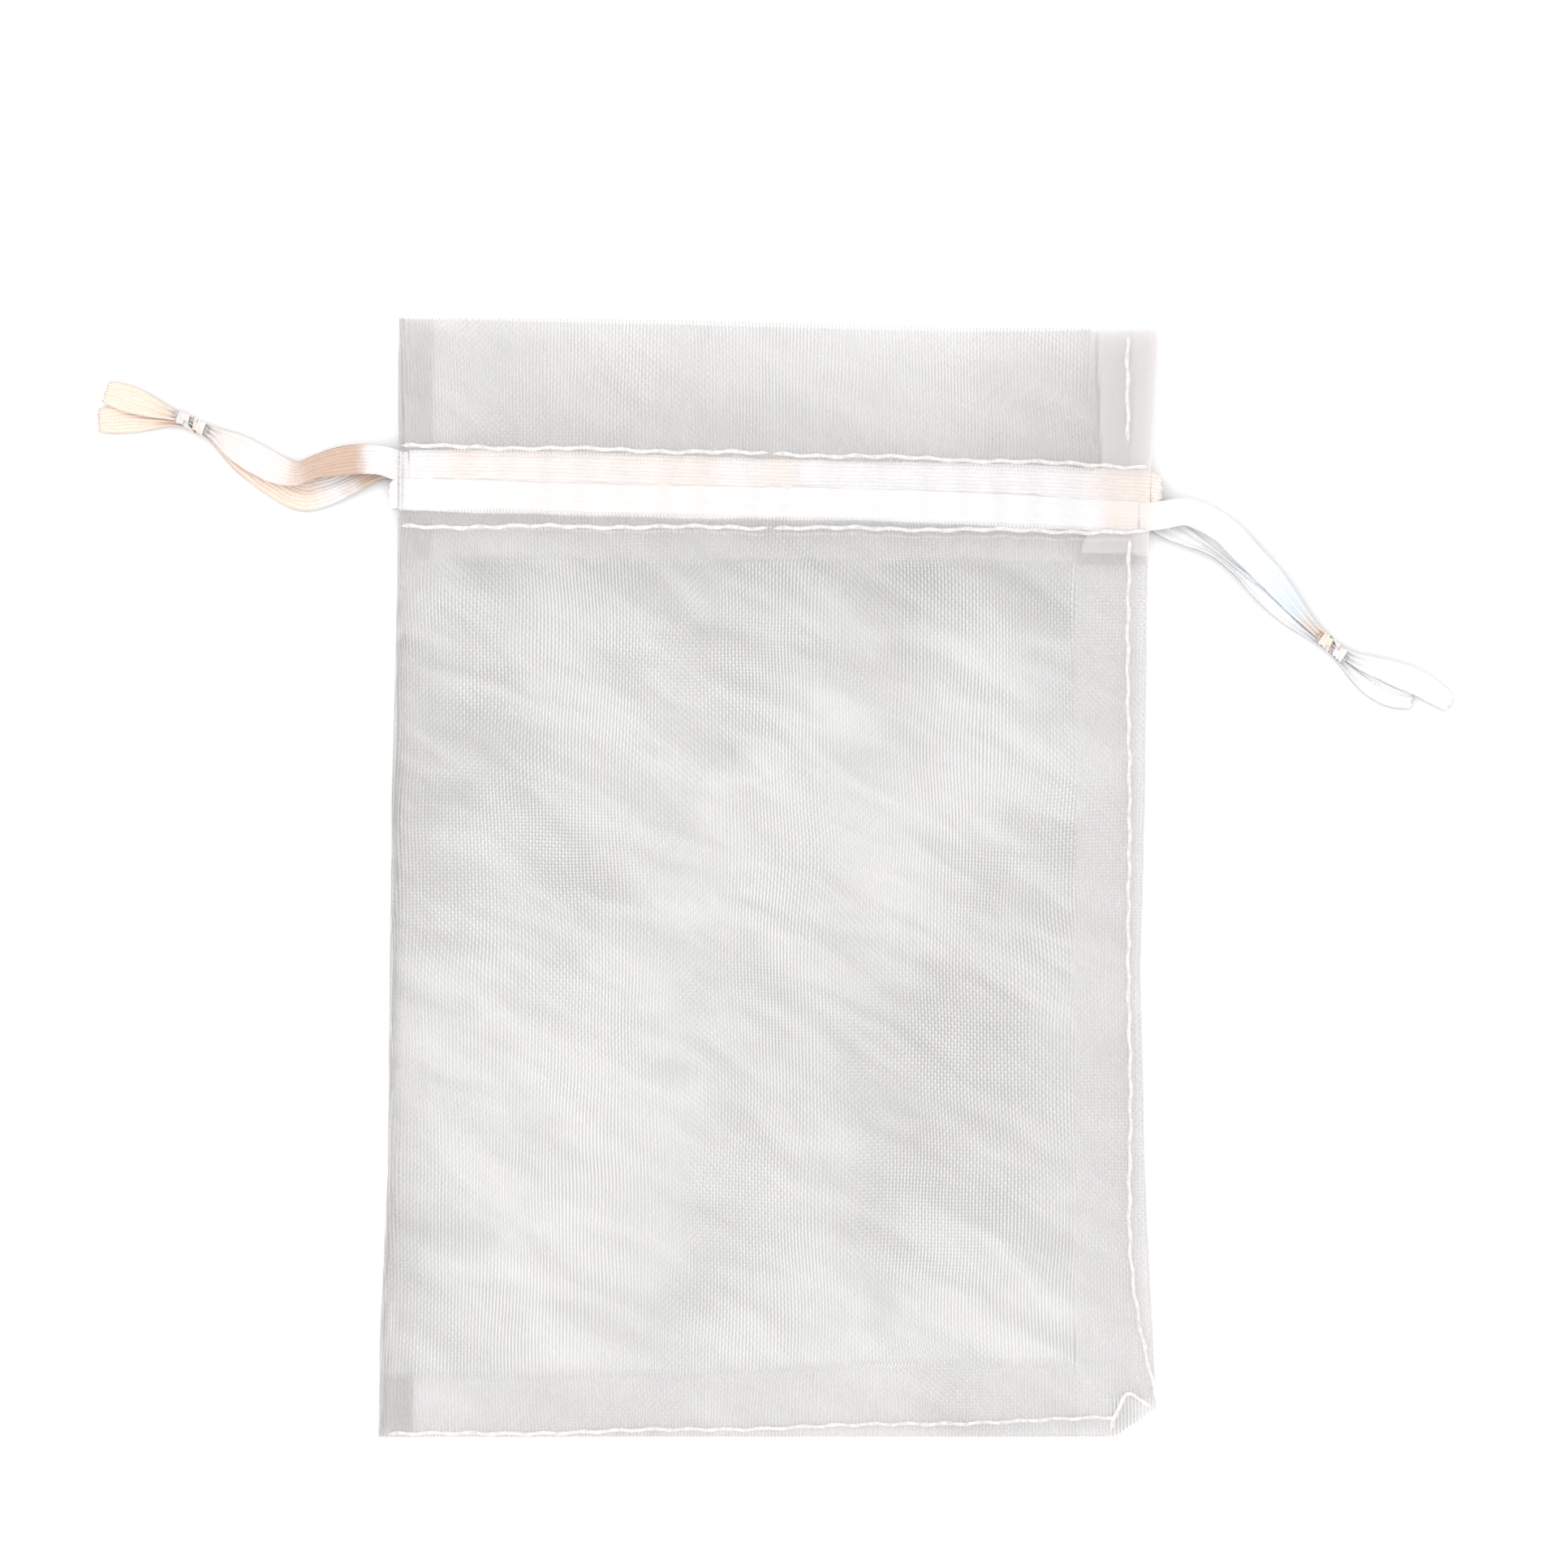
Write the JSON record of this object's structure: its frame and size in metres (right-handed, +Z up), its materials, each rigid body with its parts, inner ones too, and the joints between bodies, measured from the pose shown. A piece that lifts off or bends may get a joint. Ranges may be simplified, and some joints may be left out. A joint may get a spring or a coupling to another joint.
{
  "type": "drawstring gift pouch",
  "caption": "Flat sheer organza gift pouch with a deep hemmed mouth and satin drawstring ribbons that leave the neck on opposite sides and end in knots.",
  "frame": {"origin": "middle of the pouch's footprint, without the ribbons' free ends, on the surface that it lies on", "axes": "+Z up from that surface, +Y from the bottom seam towards the mouth, +X from the folded side towards the sewn side"},
  "size_m": [0.1785, 0.1468, 0.0088],
  "materials": {
    "organza": "sheer, soft sheen",
    "sewing_thread": "soft sheen",
    "peach_ribbon": "satin",
    "pearl_ribbon": "satin"
  },
  "bodies": {
    "pouch": {"front_panel": "organza", "back_panel": "organza", "side_fold": "organza", "front_hem": "organza", "back_hem": "organza", "front_side_allowance": "organza", "back_side_allowance": "organza", "front_bottom_allowance": "organza", "back_bottom_allowance": "organza", "side_seam_thread": "sewing_thread", "bottom_seam_thread": "sewing_thread", "front_upper_stitches": "sewing_thread", "front_lower_stitches": "sewing_thread", "back_upper_stitches": "sewing_thread", "back_lower_stitches": "sewing_thread"},
    "left_drawstring": {"left_ribbon_front_run": "peach_ribbon", "left_ribbon_back_run": "peach_ribbon", "left_ribbon_turn": "peach_ribbon", "left_ribbon_front_end": "peach_ribbon", "left_ribbon_back_end": "peach_ribbon", "left_knot": "peach_ribbon"},
    "right_drawstring": {"right_ribbon_front_run": "pearl_ribbon", "right_ribbon_back_run": "pearl_ribbon", "right_ribbon_turn": "pearl_ribbon", "right_ribbon_front_end": "pearl_ribbon", "right_ribbon_back_end": "pearl_ribbon", "right_knot": "pearl_ribbon"}
  },
  "joints": [
    {"name": "left_pull", "type": "slide", "parent": "pouch", "child": "left_drawstring", "axis": [-0.9996, 0.0283, 0], "range_m": [0, 0.032], "deforming": ["front_panel", "front_hem", "back_hem"]},
    {"name": "right_pull", "type": "slide", "parent": "pouch", "child": "right_drawstring", "axis": [0.9996, -0.0283, 0], "range_m": [0, 0.032], "deforming": ["front_panel", "front_hem", "back_hem"]}
  ]
}
